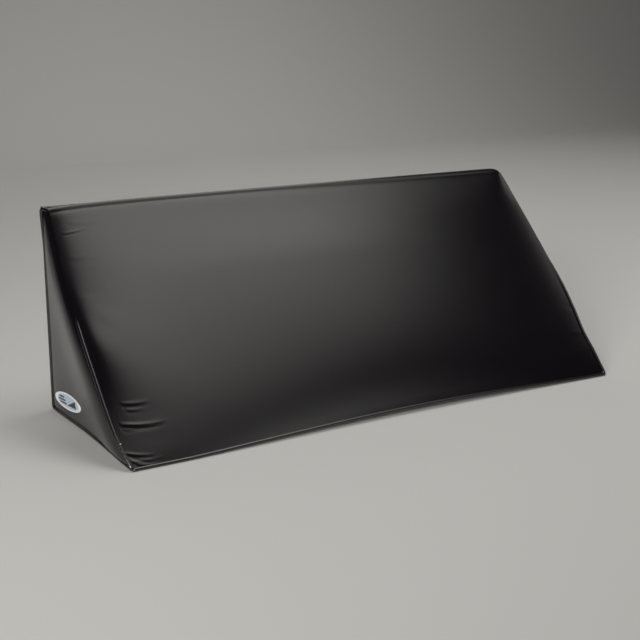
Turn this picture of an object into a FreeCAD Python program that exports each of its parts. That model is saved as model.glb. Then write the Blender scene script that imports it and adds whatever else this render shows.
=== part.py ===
"""A slant board for physiotherapy: a foam wedge in a sewn, zipped cover with piped seams.

The frame is X across the width, Y from the toe edge (-Y) to the back (+Y) and Z up. The origin is
the middle of the base face, on the surface that the wedge stands on. Sizes are in millimetres.

The piping runs round each end of the wedge in a loop of four corners, named here
  toe (front, bottom), brow (where the slope meets the top), ridge (back, top), heel (back, bottom)
and every panel's outline is that loop moved inwards or outwards.
"""
import FreeCAD, Part
import math
import os
import re

import Sketcher

SIZES = {
    # the whole wedge, over its piping
    "width": 610,
    "depth": 226,
    "height": 224,
    "ridge_flat": 16,
    "toe_radius": 2.6,
    "brow_radius": 24,
    "ridge_radius": 5.5,
    "heel_radius": 5,
    # piping: a sleeve of cover cloth round a filler cord
    "piping_size": 4,
    "sleeve_bore": 2.5,
    "filler_size": 2.4,
    "seam_gap": 0.15,
    # cover cloth
    "cloth": 0.8,
    "base_cloth": 1.0,
    "slope_lift": 0.4,
    "back_inset": 0.8,
    # foam
    "foam_side_gap": 0.3,
    "foam_back_gap": 1.0,
    "foam_base_gap": 0.3,
    "foam_toe_cut": 14,
    "foam_heel_radius": 8,
    "foam_ridge_radius": 4.9,
    "foam_chamfer": 4.6,
    "groove_depth": 2.4,
    "groove_height": 16,
    # zip across the back
    "zip_height": 40,
    "zip_length": 554,
    "zip_slot": 14,
    "end_tab_start": 4.5,
    "tape_width": 14,
    "tape_thick": 0.6,
    "tape_inset": 1.7,
    "coil_width": 2.4,
    "coil_thick": 1.7,
    "coil_slit": 1.2,
    "stop_length": 3,
    "stop_gap": 0.4,
    "tack_length": 2,
    "tack_height": 12,
    # zip slider and pull tab
    "slider_length": 12,
    "slider_width": 8.8,
    "slider_plate": 1.0,
    "slider_gap": 0.3,
    "slider_nose": 2.5,
    "flange_width": 1.0,
    "web_width": 0.6,
    "web_length": 3,
    "crown_length": 7,
    "crown_width": 2,
    "crown_rise": 2.7,
    "crown_bar": 1.3,
    "hinge_size": 1.2,
    "hinge_rise": 0.85,
    "tab_thick": 1.1,
    "tab_length": 24,
    "tab_width": 6.4,
    "tab_window": 4.6,
    "tab_arm": 1.6,
    "tab_hole": 3,
    # badge on the left end panel
    "badge_length": 82,
    "badge_width": 18,
    "badge_from_middle": 57,
    "badge_height": 23.5,
    "badge_patch": 0.5,
    "badge_rim_width": 1.6,
    "badge_relief": 0.3,
    "badge_tilt": -5.6,
    "emblem_length": 34,
    "emblem_rise": 7,
    "emblem_bar": 1.6,
    # care label by the bottom back seam
    "label_length": 46,
    "label_height": 22,
    "label_thick": 0.4,
    "label_from_end": 40,
}

doc = FreeCAD.newDocument("SlantBoard")
sheet = doc.addObject("Spreadsheet::Sheet", "Sizes")
for row, (name, size) in enumerate(SIZES.items(), start=1):
    sheet.set(f"A{row}", name)
    sheet.set(f"B{row}", str(size))
    sheet.setAlias(f"B{row}", name)
doc.recompute()

# Formulas. Each is text in terms of the sheet's names, so that a size bound to it follows the sheet.
RUN = "(depth - piping_size - ridge_flat)"
RISE = "(height - piping_size)"
SLOPE = f"sqrt({RUN}^2 + {RISE}^2)"
COS = f"({RUN} / {SLOPE})"
SIN = f"({RISE} / {SLOPE})"
HALF_TAN = f"(({SLOPE} - {RUN}) / {RISE})"
LOW = "(piping_size / 2)"
HIGH = "(height - piping_size / 2)"
BACK = "(depth / 2 - piping_size / 2)"
TOE = "(piping_size / 2 - depth / 2)"
SEAM = "(piping_size / 2 + seam_gap)"
PANEL_END = f"(width / 2 - piping_size / 2 - {SEAM})"
TAPE_BACK = "(depth / 2 - tape_inset)"
COIL_BACK = "(depth / 2 - tape_inset + coil_thick)"
TAPE_FRONT = "(depth / 2 - tape_inset - tape_thick)"
COIL_TOP = "(coil_slit / 2 + coil_width)"
CLOSED = "(zip_length / 2 - stop_length - stop_gap - slider_length / 2)"
PLATE_FRONT = f"({COIL_BACK} + slider_gap)"
PLATE_BACK = f"({PLATE_FRONT} + slider_plate)"
HINGE = f"({PLATE_BACK} + hinge_rise)"
BADGE_FACE = "(width / 2 - cloth)"
BADGE_SIN = "sin(badge_tilt * 1 deg)"
BADGE_COS = "cos(badge_tilt * 1 deg)"


def formula(text):
    """Write a formula as FreeCAD reads it, with the sheet's name before each of its cells."""
    return re.sub(r"[a-z_]+", lambda word: f"Sizes.{word[0]}" if word[0] in SIZES else word[0], text)


def number(text):
    """Work out a formula now."""
    return float(doc.getObject("Sizes").evalExpression(formula(text)))


def body(label):
    """Start a sub-part."""
    made = doc.addObject("PartDesign::Body", label)
    made.Label = label
    made.AllowCompound = True
    return made


# The sign of each origin plane's normal along its row axis.
NORMAL_SIGN = {"XY_Plane": 1, "XZ_Plane": -1, "YZ_Plane": 1}


def sketch_on(owner, plane, at="0"):
    """Make a sketch parallel to one of the body's origin planes, at a place along the row axis."""
    sketch = owner.newObject("Sketcher::SketchObject", f"{owner.Name}_sketch")
    origin_plane = next(item for item in owner.Origin.OriginFeatures if item.Role == plane)
    sketch.AttachmentSupport = (origin_plane, [""])
    sketch.MapMode = "FlatFace"
    sketch.setExpression("AttachmentOffset.Base.z", formula(f"{NORMAL_SIGN[plane]} * ({at})"))
    return sketch


def bind(sketch, constraint, text):
    """Add a dimension to a sketch and bind it to a formula."""
    index = sketch.addConstraint(constraint)
    sketch.setExpression(f"Constraints[{index}]", formula(text))


def pin_point(sketch, geometry, end, corner):
    """Hold one point of a sketch at a place given by two formulas."""
    for kind, text in zip(("DistanceX", "DistanceY"), corner):
        bind(sketch, Sketcher.Constraint(kind, -1, 1, geometry, end, number(text)), text)


def outline(sketch, corners, radii=None):
    """Draw a closed outline through corners given as formulas, and round those that have a radius."""
    points = [FreeCAD.Vector(number(across), number(up), 0) for across, up in corners]
    ends = points[1:] + points[:1]
    lines = [sketch.addGeometry(Part.LineSegment(start, end)) for start, end in zip(points, ends)]
    for line, following in zip(lines, lines[1:] + lines[:1]):
        sketch.addConstraint(Sketcher.Constraint("Coincident", line, 2, following, 1))
    for line, corner in zip(lines, corners):
        pin_point(sketch, line, 1, corner)
    for index, radius in (radii or {}).items():
        arc = sketch.GeometryCount
        sketch.fillet(lines[index - 1], 2, number(radius), True, True)
        bind(sketch, Sketcher.Constraint("Radius", arc, number(radius)), radius)


def circle(sketch, centre, diameter):
    """Draw a circle by its centre and diameter, given as formulas."""
    middle = FreeCAD.Vector(number(centre[0]), number(centre[1]), 0)
    ring = sketch.addGeometry(Part.Circle(middle, FreeCAD.Vector(0, 0, 1), number(diameter) / 2))
    pin_point(sketch, ring, 3, centre)
    bind(sketch, Sketcher.Constraint("Diameter", ring, number(diameter)), diameter)


def rectangle(sketch, left, right, bottom, top, radius=None):
    """Draw a rectangle between four formulas, with one corner radius if there is one."""
    corners = [(left, bottom), (right, bottom), (right, top), (left, top)]
    outline(sketch, corners, {index: radius for index in range(4)} if radius else None)


def extrude(owner, sketch, plane, length, kind="Pad"):
    """Pad a sketch along the plane's row axis, towards the axis's positive end, or pocket along it."""
    feature = owner.newObject(f"PartDesign::{kind}", f"{owner.Name}_{kind.lower()}")
    feature.Profile = sketch
    feature.setExpression("Length", formula(length))
    feature.Reversed = (NORMAL_SIGN[plane] < 0) != (kind == "Pocket")
    doc.recompute()
    return feature


def loop(inset="0", foot=None, back=None):
    """The end loop's four corners, moved inwards by inset; foot and back are moved by their own."""
    foot = foot or inset
    back = back or inset
    return [
        (f"{TOE} + {inset} / {SIN} + ({foot}) * {COS} / {SIN}", f"{LOW} + ({foot})"),
        (f"{BACK} - ({back})", f"{LOW} + ({foot})"),
        (f"{BACK} - ({back})", f"{HIGH} - ({inset})"),
        (f"{BACK} - ridge_flat + ({inset}) * {HALF_TAN}", f"{HIGH} - ({inset})"),
    ]


LOOP_RADII = {0: "toe_radius", 1: "heel_radius", 2: "ridge_radius", 3: "brow_radius"}


def make_foam():
    """The core: one wedge of foam, blunt at the toe, with a shallow groove behind the zip."""
    core = body("foam_core")
    half = "(width / 2 - cloth * 2 - foam_side_gap)"
    foot = f"(base_cloth + foam_base_gap - {LOW})"
    back = f"(back_inset + cloth + foam_back_gap - {LOW})"
    sloped = loop("0", foot, back)
    cut = f"{TOE} + foam_toe_cut"
    corners = [
        (cut, sloped[0][1]),
        sloped[1],
        sloped[2],
        sloped[3],
        (cut, f"{LOW} + foam_toe_cut * {SIN} / {COS}"),
    ]
    profile = sketch_on(core, "YZ_Plane", f"-{half}")
    rounding = {1: "foam_heel_radius", 2: "foam_ridge_radius", 3: "brow_radius"}
    outline(profile, corners, rounding)
    extrude(core, profile, "YZ_Plane", f"2 * {half}")
    groove = sketch_on(core, "XZ_Plane", f"{BACK} - {back} - groove_depth")
    reach = "(zip_length / 2 + 8)"
    half_groove = "groove_height / 2"
    rectangle(
        groove, f"-{reach}", reach, f"zip_height - {half_groove}", f"zip_height + {half_groove}"
    )
    extrude(core, groove, "XZ_Plane", "2 * groove_depth", "Pocket")


def end_faces(feature):
    """Names of the faces at the two ends of a feature along X."""
    box = feature.Shape.BoundBox
    named = enumerate(feature.Shape.Faces, start=1)
    near = 0.01
    return [
        f"Face{index}"
        for index, face in named
        if face.BoundBox.XLength < near
        and min(abs(face.CenterOfMass.x - box.XMin), abs(face.CenterOfMass.x - box.XMax)) < near
    ]


def soften_foam_ends():
    """Chamfer the foam all round its two end faces, where the piping's seam allowance lies."""
    core = doc.getObject("foam_core")
    block = core.Tip
    chamfer = core.newObject("PartDesign::Chamfer", "foam_core_chamfer")
    chamfer.Base = (block, end_faces(block))
    chamfer.setExpression("Size", formula("foam_chamfer"))
    doc.recompute()


def make_slope_panel():
    """The front panel of the cover, up the slope and over the rounded brow to the ridge seam."""
    panel = body("slope_panel")
    outer = "(slope_lift + cloth)"
    inner = "slope_lift"
    corners = [
        (f"{TOE} + {SEAM} * {COS} - {outer} * {SIN}", f"{LOW} + {SEAM} * {SIN} + {outer} * {COS}"),
        (f"{TOE} + {SEAM} * {COS} - {inner} * {SIN}", f"{LOW} + {SEAM} * {SIN} + {inner} * {COS}"),
        (f"{BACK} - ridge_flat - {inner} * {HALF_TAN}", f"{HIGH} + {inner}"),
        (f"{BACK} - {SEAM}", f"{HIGH} + {inner}"),
        (f"{BACK} - {SEAM}", f"{HIGH} + {outer}"),
        (f"{BACK} - ridge_flat - {outer} * {HALF_TAN}", f"{HIGH} + {outer}"),
    ]
    band = sketch_on(panel, "YZ_Plane", f"-{PANEL_END}")
    outline(band, corners, {2: f"brow_radius + {inner}", 5: f"brow_radius + {outer}"})
    extrude(panel, band, "YZ_Plane", f"2 * {PANEL_END}")


def make_end_panels():
    """The two end panels, each the shape of the end loop less the seam."""
    starts = {"end_panel_left": "-(width / 2 - cloth)", "end_panel_right": "width / 2 - 2 * cloth"}
    for label, start in starts.items():
        panel = body(label)
        shape = sketch_on(panel, "YZ_Plane", start)
        radii = {index: f"{radius} - {SEAM}" for index, radius in LOOP_RADII.items()}
        outline(shape, loop(SEAM), radii)
        extrude(panel, shape, "YZ_Plane", "cloth")


def make_flat_panels():
    """The base panel, and the back in four parts: above and below the zip, and at its two ends."""
    base = body("base_panel")
    shape = sketch_on(base, "XY_Plane")
    rectangle(shape, f"-{PANEL_END}", PANEL_END, f"{TOE} + {SEAM}", f"{BACK} - {SEAM}")
    extrude(base, shape, "XY_Plane", "base_cloth")
    strip_top = "zip_height - zip_slot / 2"
    slot_top = "zip_height + zip_slot / 2"
    tab = "(zip_length / 2 + end_tab_start)"
    back_parts = {
        "back_strip": (f"-{PANEL_END}", PANEL_END, f"{LOW} + {SEAM}", strip_top),
        "back_panel": (f"-{PANEL_END}", PANEL_END, slot_top, f"{HIGH} - {SEAM}"),
        "zip_end_tab_left": (f"-{PANEL_END}", f"-{tab}", strip_top, slot_top),
        "zip_end_tab_right": (tab, PANEL_END, strip_top, slot_top),
    }
    for label, edges in back_parts.items():
        panel = body(label)
        shape = sketch_on(panel, "XZ_Plane", "depth / 2 - back_inset - cloth")
        rectangle(shape, *edges)
        extrude(panel, shape, "XZ_Plane", "cloth")


def end_pipe(piece, path, middle, diameter, kind):
    """Sweep a circle round an end loop, to add a rod or to bore a hole along it."""
    section = sketch_on(piece, "XY_Plane", "height / 2")
    circle(section, (middle, BACK), diameter)
    pipe = piece.newObject(f"PartDesign::{kind}Pipe", f"{piece.Name}_{kind}")
    pipe.Profile = section
    pipe.Spine = (path, [])
    doc.recompute()


def make_end_piping(side, sign):
    """The piping round one end: a sleeve of cloth and the filler cord inside it."""
    middle = f"{sign} * (width / 2 - piping_size / 2)"
    corners = loop()
    corners = [(BACK, "height / 2")] + corners[2:] + corners[:2]
    radii = {1: "ridge_radius", 2: "brow_radius", 3: "toe_radius", 4: "heel_radius"}
    for layer, diameter in (("sleeve", "piping_size"), ("cord", "filler_size")):
        piece = body(f"piping_{layer}_{side}")
        path = sketch_on(piece, "YZ_Plane", middle)
        outline(path, corners, radii)
        end_pipe(piece, path, middle, diameter, "Additive")
        if layer == "sleeve":
            end_pipe(piece, path, middle, "sleeve_bore", "Subtractive")


def make_straight_piping(name, along, up):
    """The piping along one long seam: a sleeve of cloth and the filler cord inside it."""
    rings = {
        f"piping_sleeve_{name}": ("piping_size", "sleeve_bore"),
        f"piping_cord_{name}": ("filler_size",),
    }
    for label, diameters in rings.items():
        piece = body(label)
        section = sketch_on(piece, "YZ_Plane", f"-{PANEL_END}")
        for diameter in diameters:
            circle(section, (along, up), diameter)
        extrude(piece, section, "YZ_Plane", f"2 * {PANEL_END}")


def make_zip_chain():
    """Both halves of the zip, its end stops and the bar tacks that hold its ends."""
    for side, sign in (("upper", 1), ("lower", -1)):
        tape = body(f"zip_tape_{side}")
        shape = sketch_on(tape, "XZ_Plane", TAPE_FRONT)
        edges = ("zip_height + coil_slit / 2", "zip_height + tape_width + coil_slit / 2")
        if sign < 0:
            edges = ("zip_height - tape_width - coil_slit / 2", "zip_height - coil_slit / 2")
        rectangle(shape, "-zip_length / 2 - 6", "zip_length / 2 + 6", *edges)
        extrude(tape, shape, "XZ_Plane", "tape_thick")
        coil = body(f"zip_coil_{side}")
        shape = sketch_on(coil, "XZ_Plane", TAPE_BACK)
        edges = ("zip_height + coil_slit / 2", f"zip_height + {COIL_TOP}")
        if sign < 0:
            edges = (f"zip_height - {COIL_TOP}", "zip_height - coil_slit / 2")
        length = "zip_length / 2 - stop_length"
        rectangle(shape, f"-({length})", length, *edges)
        extrude(coil, shape, "XZ_Plane", "coil_thick")


def make_zip_ends():
    """The bottom stop, the pair of top stops and the bar tacks at the zip's ends."""
    inner = "(zip_length / 2 - stop_length + 0.2)"
    outer = "zip_length / 2"
    bottom = body("zip_bottom_stop")
    shape = sketch_on(bottom, "XZ_Plane", TAPE_BACK)
    rectangle(shape, f"-{outer}", f"-{inner}", f"zip_height - {COIL_TOP}", f"zip_height + {COIL_TOP}")
    extrude(bottom, shape, "XZ_Plane", "coil_thick")
    top = body("zip_top_stops")
    shape = sketch_on(top, "XZ_Plane", TAPE_BACK)
    rectangle(shape, inner, outer, "zip_height + coil_slit / 2", f"zip_height + {COIL_TOP}")
    rectangle(shape, inner, outer, f"zip_height - {COIL_TOP}", "zip_height - coil_slit / 2")
    extrude(top, shape, "XZ_Plane", "coil_thick")
    tacks = body("bar_tacks")
    shape = sketch_on(tacks, "XZ_Plane", TAPE_BACK)
    for sign in (-1, 1):
        near, far = "(zip_length / 2 + 2)", "(zip_length / 2 + 2 + tack_length)"
        left, right = (near, far) if sign > 0 else (f"-{far}", f"-{near}")
        half = "tack_height / 2"
        rectangle(shape, left, right, f"zip_height - {half}", f"zip_height + {half}")
    extrude(tacks, shape, "XZ_Plane", "cloth")


def slider_plate(owner, at):
    """One plate of the slider: broad at the nose that closes the zip, narrower at the tail."""
    half = "slider_width / 2"
    corners = [
        (f"{CLOSED} - slider_length / 2", f"zip_height - {half} + 0.8"),
        (f"{CLOSED} + slider_length / 2 - slider_nose", f"zip_height - {half}"),
        (f"{CLOSED} + slider_length / 2", f"zip_height - {half} + 0.8"),
        (f"{CLOSED} + slider_length / 2", f"zip_height + {half} - 0.8"),
        (f"{CLOSED} + slider_length / 2 - slider_nose", f"zip_height + {half}"),
        (f"{CLOSED} - slider_length / 2", f"zip_height + {half} - 0.8"),
    ]
    shape = sketch_on(owner, "XZ_Plane", at)
    outline(shape, corners, {0: "1.2", 1: "1.2", 2: "1.2", 3: "1.2", 4: "1.2", 5: "1.2"})
    extrude(owner, shape, "XZ_Plane", "slider_plate")


def make_slider():
    """The slider: two plates joined by a web at the nose, flanges beside the coils, and a crown."""
    slider = body("zip_slider")
    slider_plate(slider, PLATE_FRONT)
    web = sketch_on(slider, "XZ_Plane", f"{TAPE_FRONT} - slider_gap")
    nose = f"{CLOSED} + slider_length / 2 - slider_nose"
    rectangle(web, f"{nose} - web_length", nose, "zip_height - web_width / 2",
              "zip_height + web_width / 2")
    extrude(slider, web, "XZ_Plane", f"{PLATE_FRONT} - {TAPE_FRONT} + slider_gap")
    slider_plate(slider, f"{TAPE_FRONT} - slider_gap - slider_plate")
    flanges = sketch_on(slider, "XZ_Plane", f"{TAPE_BACK} + slider_gap")
    near = f"({COIL_TOP} + slider_gap)"
    for sign in (-1, 1):
        low, top = (near, f"({near} + flange_width)")
        edges = (f"zip_height + {low}", f"zip_height + {top}")
        if sign < 0:
            edges = (f"zip_height - {top}", f"zip_height - {low}")
        rectangle(flanges, f"{CLOSED} - slider_length / 2 + 1.5",
                  f"{CLOSED} + slider_length / 2 - 1.5", *edges)
    extrude(slider, flanges, "XZ_Plane", f"{PLATE_FRONT} - {TAPE_BACK} - slider_gap")
    crown = sketch_on(slider, "XY_Plane", "zip_height - crown_width / 2")
    half = "crown_length / 2"
    rectangle(crown, f"{CLOSED} - {half}", f"{CLOSED} + {half}", PLATE_BACK,
              f"{PLATE_BACK} + crown_rise", "0.9")
    extrude(slider, crown, "XY_Plane", "crown_width")
    eye = sketch_on(slider, "XY_Plane", "zip_height - crown_width")
    hollow = f"({half} - crown_bar)"
    rectangle(eye, f"{CLOSED} - {hollow}", f"{CLOSED} + {hollow}", PLATE_BACK,
              f"{PLATE_BACK} + 2 * hinge_rise")
    extrude(slider, eye, "XY_Plane", "2 * crown_width", "Pocket")


def make_pull_tab():
    """The pull tab: a plate with a window for the crown, and a bar that turns in the crown's eye."""
    tab = body("zip_pull_tab")
    half = "tab_width / 2"
    plate = sketch_on(tab, "XZ_Plane", f"{HINGE} - tab_thick / 2")
    rectangle(plate, f"{CLOSED} - tab_length", f"{CLOSED}", f"zip_height - {half}",
              f"zip_height + {half}")
    extrude(tab, plate, "XZ_Plane", "tab_thick")
    window = sketch_on(tab, "XZ_Plane", f"{HINGE} - tab_thick")
    inside = f"({half} - tab_arm)"
    rectangle(window, f"{CLOSED} - tab_window", f"{CLOSED} + 1", f"zip_height - {inside}",
              f"zip_height + {inside}")
    extrude(tab, window, "XZ_Plane", "2 * tab_thick", "Pocket")
    hole = sketch_on(tab, "XZ_Plane", f"{HINGE} - tab_thick")
    circle(hole, (f"{CLOSED} - tab_length + tab_hole * 1.3", "zip_height"), "tab_hole")
    extrude(tab, hole, "XZ_Plane", "2 * tab_thick", "Pocket")
    bar = sketch_on(tab, "XY_Plane", f"zip_height - {half}")
    circle(bar, (CLOSED, HINGE), "hinge_size")
    extrude(tab, bar, "XY_Plane", "tab_width")


def ellipse(sketch, length, width):
    """Draw the badge's oval, turned by the badge's tilt."""
    centre = ("badge_from_middle", "badge_height")
    middle = FreeCAD.Vector(number(centre[0]), number(centre[1]), 0)
    tilt = math.radians(number("badge_tilt"))
    along = FreeCAD.Vector(math.cos(tilt), math.sin(tilt), 0) * (number(length) / 2)
    across = FreeCAD.Vector(-math.sin(tilt), math.cos(tilt), 0) * (number(width) / 2)
    oval = sketch.addGeometry(Part.Ellipse(middle + along, middle + across, middle))
    sketch.exposeInternalGeometry(oval)
    long_axis, short_axis = oval + 1, oval + 2
    pin_point(sketch, oval, 3, centre)
    bind(sketch, Sketcher.Constraint("Distance", long_axis, 1, long_axis, 2, number(length)), length)
    bind(sketch, Sketcher.Constraint("Distance", short_axis, 1, short_axis, 2, number(width)), width)
    tilted = Sketcher.Constraint("DistanceY", -1, 1, long_axis, 1, (middle + along).y)
    bind(sketch, tilted, f"badge_height + ({length}) / 2 * {BADGE_SIN}")


def badge_point(along, up):
    """A place on the badge, from its centre along its length and across it."""
    return (
        f"badge_from_middle + ({along}) * {BADGE_COS} - ({up}) * {BADGE_SIN}",
        f"badge_height + ({along}) * {BADGE_SIN} + ({up}) * {BADGE_COS}",
    )


def make_badge():
    """The oval badge on the left end: a patch, a raised rim and a plain raised wedge emblem."""
    patch = body("badge_patch")
    shape = sketch_on(patch, "YZ_Plane", f"-{BADGE_FACE} - badge_patch")
    ellipse(shape, "badge_length", "badge_width")
    extrude(patch, shape, "YZ_Plane", "badge_patch")
    rim = body("badge_rim")
    raised = f"-{BADGE_FACE} - badge_patch - badge_relief"
    shape = sketch_on(rim, "YZ_Plane", raised)
    ellipse(shape, "badge_length", "badge_width")
    ellipse(shape, "badge_length - 2 * badge_rim_width", "badge_width - 2 * badge_rim_width")
    extrude(rim, shape, "YZ_Plane", "badge_relief")
    emblem = body("badge_emblem")
    shape = sketch_on(emblem, "YZ_Plane", raised)
    far, near = "emblem_length / 2", "-emblem_length / 2"
    foot = "-emblem_rise / 2"
    wedge = [badge_point(near, foot), badge_point(far, foot), badge_point(far, "emblem_rise / 2")]
    outline(shape, wedge)
    extrude(emblem, shape, "YZ_Plane", "badge_relief")


def make_label():
    """The blank care label, sewn flat on the back strip beside the bottom seam."""
    label = body("care_label")
    shape = sketch_on(label, "XZ_Plane", "depth / 2 - back_inset + 0.1")
    left = f"-({PANEL_END} - label_from_end)"
    bottom = f"{LOW} + {SEAM} + 1"
    rectangle(shape, left, f"{left} + label_length", bottom, f"{bottom} + label_height")
    extrude(label, shape, "XZ_Plane", "label_thick")


def check_model():
    """Stop if any object failed, or if any sub-part is empty or not valid."""
    failed = [item.Name for item in doc.Objects if {"Invalid", "Error"} & set(item.State)]
    if failed:
        raise RuntimeError(f"objects that failed: {failed}")
    for part in doc.findObjects("PartDesign::Body"):
        if part.Shape.isNull() or not part.Shape.isValid() or part.Shape.Volume <= 0:
            raise RuntimeError(f"{part.Label} has no valid shape")


def write_parts():
    """Write each sub-part to a STEP file named after it."""
    os.makedirs("parts", exist_ok=True)
    for part in doc.findObjects("PartDesign::Body"):
        part.Shape.exportStep(f"parts/{part.Label}.step")
        print(f"{part.Label:24s}{len(part.Shape.Solids):2d} solids {part.Shape.Volume:14.1f} mm3")


make_foam()
soften_foam_ends()
make_slope_panel()
make_end_panels()
make_flat_panels()
make_end_piping("left", -1)
make_end_piping("right", 1)
make_straight_piping("toe", TOE, LOW)
make_straight_piping("ridge", BACK, HIGH)
make_straight_piping("heel", BACK, LOW)
make_zip_chain()
make_zip_ends()
make_slider()
make_pull_tab()
make_badge()
make_label()
doc.recompute()
check_model()
write_parts()
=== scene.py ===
"""Looks for the slant board: the sewn cover over its foam, its piping, zip, badge and label."""

import math

import bmesh
import bpy
import numpy as np
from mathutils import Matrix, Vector
from mathutils.bvhtree import BVHTree


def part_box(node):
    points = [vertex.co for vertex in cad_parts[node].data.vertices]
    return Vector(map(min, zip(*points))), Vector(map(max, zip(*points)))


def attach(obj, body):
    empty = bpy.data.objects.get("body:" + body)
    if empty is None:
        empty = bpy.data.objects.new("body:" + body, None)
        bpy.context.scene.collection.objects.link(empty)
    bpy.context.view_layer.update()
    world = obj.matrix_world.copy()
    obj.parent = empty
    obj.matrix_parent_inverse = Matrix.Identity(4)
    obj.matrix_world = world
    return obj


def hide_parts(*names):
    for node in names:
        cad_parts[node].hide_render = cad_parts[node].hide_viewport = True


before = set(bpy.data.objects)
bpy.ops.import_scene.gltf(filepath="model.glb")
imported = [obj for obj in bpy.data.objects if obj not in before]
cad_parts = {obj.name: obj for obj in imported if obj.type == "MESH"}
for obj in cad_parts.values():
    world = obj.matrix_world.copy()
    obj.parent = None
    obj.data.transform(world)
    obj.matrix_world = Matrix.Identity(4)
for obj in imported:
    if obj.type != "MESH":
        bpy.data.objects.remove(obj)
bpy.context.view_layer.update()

MM = 0.001


# ---------------- places taken from the CAD frame
def middle_of(node):
    """The middle of a CAD node's box."""
    low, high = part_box(node)
    return (low + high) / 2


LOOP_X = middle_of("piping_sleeve_right").x
TOE = middle_of("piping_sleeve_toe")
RIDGE = middle_of("piping_sleeve_ridge")
HEEL = middle_of("piping_sleeve_heel")
PIPING = (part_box("piping_sleeve_toe")[1].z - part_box("piping_sleeve_toe")[0].z) / 2
STRIP_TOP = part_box("back_strip")[1].z
PANEL_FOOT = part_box("back_panel")[0].z
BACK_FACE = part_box("back_panel")[1].y
END_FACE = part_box("end_panel_right")[1].x
ZIP_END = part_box("bar_tacks")[1].x + 0.5 * MM

# How the soft cover differs from the flat panels. SEAM_BULGE is how far each slope seam bows
# outwards, as (share of the seam from the toe, millimetres), read from the photo's outline.
RIDGE_FLAT = 16 * MM
BROW_RADIUS = 16 * MM
SEAM_BULGE = {
    "left": [(0, 1.5), (0.05, 4.8), (0.11, 7.6), (0.21, 8.8), (0.33, 8.9), (0.49, 9.2), (0.6, 8.3),
             (0.68, 6.6), (0.79, 3.1), (0.87, 1.1), (0.92, -0.5), (0.955, -1.0), (1, 2.0)],
    "right": [(0, 0.6), (0.06, 1.2), (0.11, 1.5), (0.18, 0.8), (0.28, 4), (0.44, 6.9), (0.65, 5.2),
              (0.82, 2.5), (0.94, 0.2), (1, -0.4)],
}
TOE_BOW = 6.5 * MM
TOE_LIFT = 4.5 * MM
FOOT_LIFT = 2.5 * MM

SIGN = {"left": -1, "right": 1}
ACROSS = 120
ALONG = 64
STRIP_ROWS = 9
SLOT_ROWS = 4
END_CROWDING = 0.5


def smooth(value):
    """Ease from 0 to 1."""
    value = np.clip(value, 0, 1)
    return value * value * (3 - 2 * value)


def curve_through(knots, at):
    """A smooth curve through (place, height) knots, by cubic pieces between them."""
    place, height = (np.array(column, float) for column in zip(*knots))
    slope = np.gradient(height, place)
    index = np.clip(np.searchsorted(place, at, side="right") - 1, 0, len(place) - 2)
    span = place[index + 1] - place[index]
    part = (at - place[index]) / span
    start, end = height[index], height[index + 1]
    rise_in, rise_out = slope[index] * span, slope[index + 1] * span
    cube, square = part**3, part**2
    return ((2 * cube - 3 * square + 1) * start + (cube - 2 * square + part) * rise_in
            + (3 * square - 2 * cube) * end + (cube - square) * rise_out)


# ---------------- the wedge's profile and seams
RUN = RIDGE.y - RIDGE_FLAT - TOE.y
RISE = RIDGE.z - TOE.z
ANGLE = math.atan2(RISE, RUN)
TANGENT = BROW_RADIUS * math.tan(ANGLE / 2)
STRAIGHT = math.hypot(RUN, RISE) - TANGENT
ARC = BROW_RADIUS * ANGLE
FLAT = RIDGE_FLAT - TANGENT
PROFILE = STRAIGHT + ARC + FLAT


def profile(share):
    """Place (y, z) and outward normal (y, z) along the profile, from the toe seam to the ridge seam."""
    length = np.asarray(share, float) * PROFILE
    turn = np.clip((length - STRAIGHT) / BROW_RADIUS, 0, ANGLE)
    heading = ANGLE - turn
    straight = np.minimum(length, STRAIGHT)
    flat = np.maximum(length - STRAIGHT - ARC, 0)
    centre_y = TOE.y + STRAIGHT * math.cos(ANGLE) + BROW_RADIUS * math.sin(ANGLE)
    centre_z = TOE.z + STRAIGHT * math.sin(ANGLE) - BROW_RADIUS * math.cos(ANGLE)
    on_line = length <= STRAIGHT
    y = np.where(on_line, TOE.y + straight * math.cos(ANGLE),
                 centre_y - BROW_RADIUS * np.sin(heading) + flat)
    z = np.where(on_line, TOE.z + straight * math.sin(ANGLE), centre_z + BROW_RADIUS * np.cos(heading))
    return y, z, -np.sin(heading), np.cos(heading)


def toe_bow(across):
    """How far the toe seam is drawn in, from 0 at the corners to 1 near the middle."""
    share = np.clip((across + 0.245) / 0.545, 0, 1)
    return np.sin(np.pi * share) ** 1.2


def slope_seam(side, share):
    """The seam between the slope panel and an end panel."""
    y, z = profile(share)[:2]
    x = SIGN[side] * (LOOP_X + curve_through(SEAM_BULGE[side], np.asarray(share, float)) * MM)
    return np.stack([x, y, z], axis=-1)


def toe_seam(across):
    """The seam along the toe, for places given across the width."""
    bow = toe_bow(across)
    return np.stack([across, TOE.y + TOE_BOW * bow, TOE.z + TOE_LIFT * bow], axis=-1)


def foot_seam(side, share):
    """The seam under an end panel, from the toe to the heel."""
    x = (1 - share) * slope_seam(side, 0.0)[0] + share * SIGN[side] * LOOP_X
    y = TOE.y + (HEEL.y - TOE.y) * share
    lift = FOOT_LIFT * np.sin(np.pi * share) ** 2
    return np.stack([x, y, HEEL.z + lift], axis=-1)


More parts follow.
